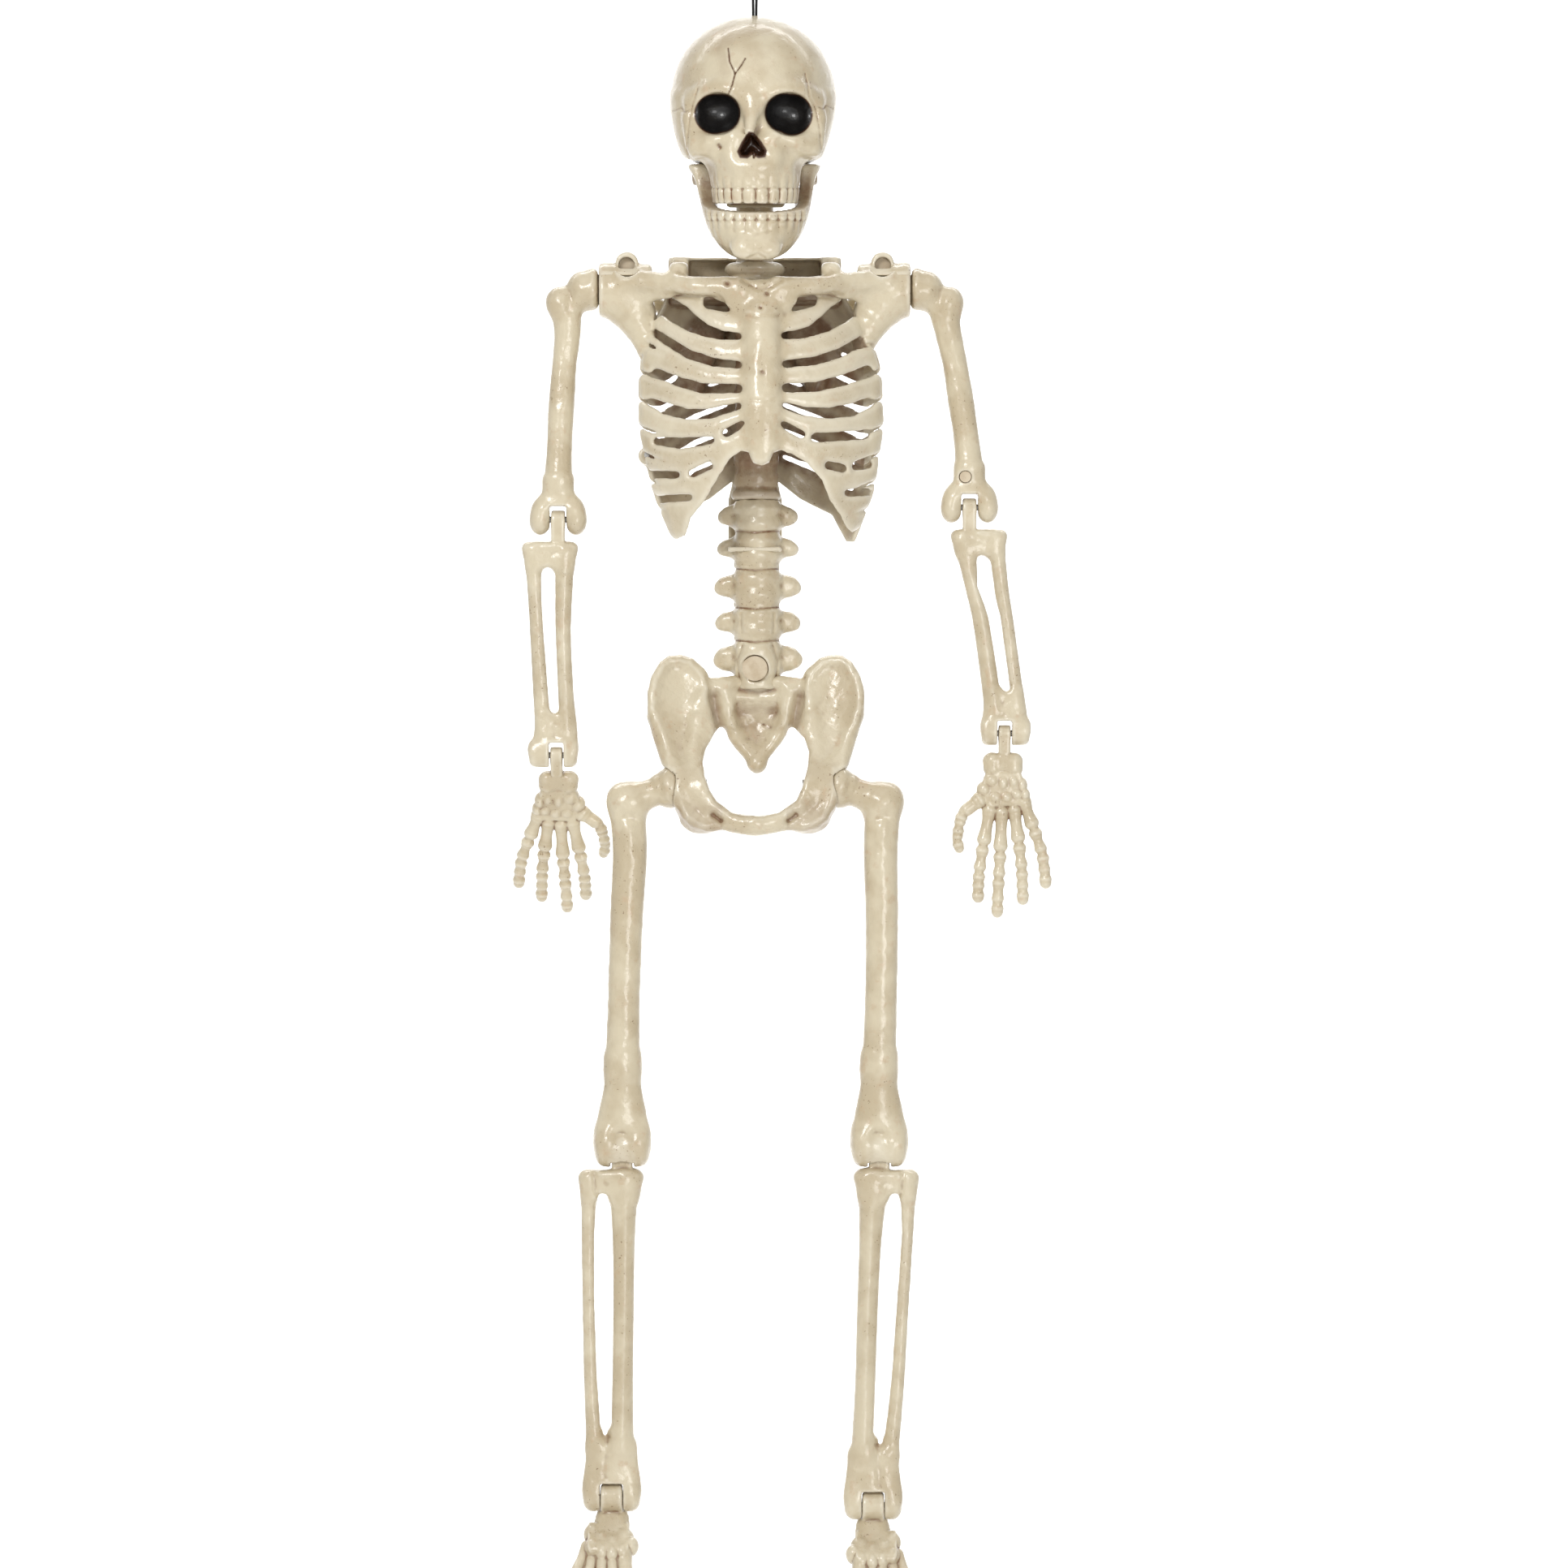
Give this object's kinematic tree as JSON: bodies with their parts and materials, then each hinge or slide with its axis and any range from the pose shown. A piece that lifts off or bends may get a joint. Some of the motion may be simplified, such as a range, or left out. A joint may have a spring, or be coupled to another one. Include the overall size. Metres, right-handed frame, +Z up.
{
  "type": "hanging skeleton figure",
  "caption": "Posable moulded-plastic human skeleton decoration that hangs from a cord loop at the crown, with a hinged jaw, turning neck and waist, and jointed arms and legs.",
  "frame": {"origin": "top of the inside of the hanging loop", "axes": "+Z up, the figure faces -Y, its own right side is at -X"},
  "size_m": [0.3039, 0.116, 0.9853],
  "materials": {
    "bone_plastic": "glossy ivory with brown antiquing in the recesses",
    "plug_plastic": "glossy ivory",
    "screw_steel": "zinc-plated",
    "pin_steel": "plain",
    "black_cord": "thin black braided cord"
  },
  "bodies": {
    "head": {"skull_front": "bone_plastic", "skull_rear": "bone_plastic", "skull_screws": "screw_steel", "jaw_pins": "pin_steel", "neck": "bone_plastic", "hanging_cord": "black_cord", "cord_knot": "black_cord"},
    "jaw": {"jaw": "bone_plastic"},
    "torso": {"ribcage_front": "bone_plastic", "ribcage_rear": "bone_plastic", "ribcage_screws": "screw_steel", "shoulder_pegs": "plug_plastic"},
    "hips": {"lumbar_spine": "bone_plastic", "waist_screw": "screw_steel", "pelvis": "bone_plastic", "pelvis_screw": "screw_steel", "pelvis_plug": "plug_plastic"},
    "upper_arm_right": {"humerus_right": "bone_plastic", "humerus_plug_right": "plug_plastic", "elbow_pin_right": "pin_steel"},
    "lower_arm_right": {"forearm_right": "bone_plastic", "wrist_pin_right": "pin_steel"},
    "hand_body_right": {"hand_right": "bone_plastic"},
    "upper_arm_left": {"humerus_left": "bone_plastic", "humerus_plug_left": "plug_plastic", "elbow_pin_left": "pin_steel"},
    "lower_arm_left": {"forearm_left": "bone_plastic", "wrist_pin_left": "pin_steel"},
    "hand_body_left": {"hand_left": "bone_plastic"},
    "thigh_right": {"femur_right": "bone_plastic", "hip_screw_right": "screw_steel", "knee_pin_right": "pin_steel"},
    "shin_right": {"lower_leg_right": "bone_plastic", "ankle_pin_right": "pin_steel"},
    "foot_body_right": {"foot_right": "bone_plastic"},
    "thigh_left": {"femur_left": "bone_plastic", "hip_screw_left": "screw_steel", "knee_pin_left": "pin_steel"},
    "shin_left": {"lower_leg_left": "bone_plastic", "ankle_pin_left": "pin_steel"},
    "foot_body_left": {"foot_left": "bone_plastic"}
  },
  "joints": [
    {"name": "neck_turn", "type": "hinge", "parent": "head", "child": "torso", "pos_m": [0, 0.004, -0.2254], "axis": [0, 0, 1], "range_deg": [-80, 80]},
    {"name": "jaw_open", "type": "hinge", "parent": "head", "child": "jaw", "pos_m": [0, 0.008, -0.1585], "axis": [1, 0, 0], "range_deg": [-2.5, 7]},
    {"name": "waist_turn", "type": "hinge", "parent": "torso", "child": "hips", "pos_m": [0, 0.026, -0.3418], "axis": [0, 0, 1], "range_deg": [-60, 60]},
    {"name": "shoulder_swing_right", "type": "hinge", "parent": "torso", "child": "upper_arm_right", "pos_m": [-0.088, 0.002, -0.2235], "axis": [-1, 0, 0], "range_deg": [-180, 180]},
    {"name": "elbow_bend_right", "type": "hinge", "parent": "upper_arm_right", "child": "lower_arm_right", "pos_m": [-0.1113, 0, -0.3543], "axis": [-1, 0, 0], "range_deg": [-100, 100]},
    {"name": "wrist_bend_right", "type": "hinge", "parent": "lower_arm_right", "child": "hand_body_right", "pos_m": [-0.1123, 0, -0.4877], "axis": [-1, 0, 0], "range_deg": [-60, 115]},
    {"name": "shoulder_swing_left", "type": "hinge", "parent": "torso", "child": "upper_arm_left", "pos_m": [0.088, 0.002, -0.2235], "axis": [-1, 0, 0], "range_deg": [-180, 180]},
    {"name": "elbow_bend_left", "type": "hinge", "parent": "upper_arm_left", "child": "lower_arm_left", "pos_m": [0.1216, 0, -0.3474], "axis": [-1, 0, 0], "range_deg": [-100, 100]},
    {"name": "wrist_bend_left", "type": "hinge", "parent": "lower_arm_left", "child": "hand_body_left", "pos_m": [0.1414, 0, -0.4753], "axis": [-1, 0, 0], "range_deg": [-90, 90]},
    {"name": "hip_swing_right", "type": "hinge", "parent": "hips", "child": "thigh_right", "pos_m": [-0.0445, 0, -0.5061], "axis": [-1, 0, 0], "range_deg": [-60, 110]},
    {"name": "knee_bend_right", "type": "hinge", "parent": "thigh_right", "child": "shin_right", "pos_m": [-0.075, 0, -0.7094], "axis": [1, 0, 0], "range_deg": [0, 100]},
    {"name": "ankle_bend_right", "type": "hinge", "parent": "shin_right", "child": "foot_body_right", "pos_m": [-0.081, 0, -0.9077], "axis": [-1, 0, 0], "range_deg": [-35, 55]},
    {"name": "hip_swing_left", "type": "hinge", "parent": "hips", "child": "thigh_left", "pos_m": [0.0445, 0, -0.5061], "axis": [-1, 0, 0], "range_deg": [-60, 110]},
    {"name": "knee_bend_left", "type": "hinge", "parent": "thigh_left", "child": "shin_left", "pos_m": [0.0705, 0, -0.7094], "axis": [1, 0, 0], "range_deg": [0, 100]},
    {"name": "ankle_bend_left", "type": "hinge", "parent": "shin_left", "child": "foot_body_left", "pos_m": [0.067, 0, -0.9123], "axis": [-1, 0, 0], "range_deg": [-35, 55]}
  ]
}
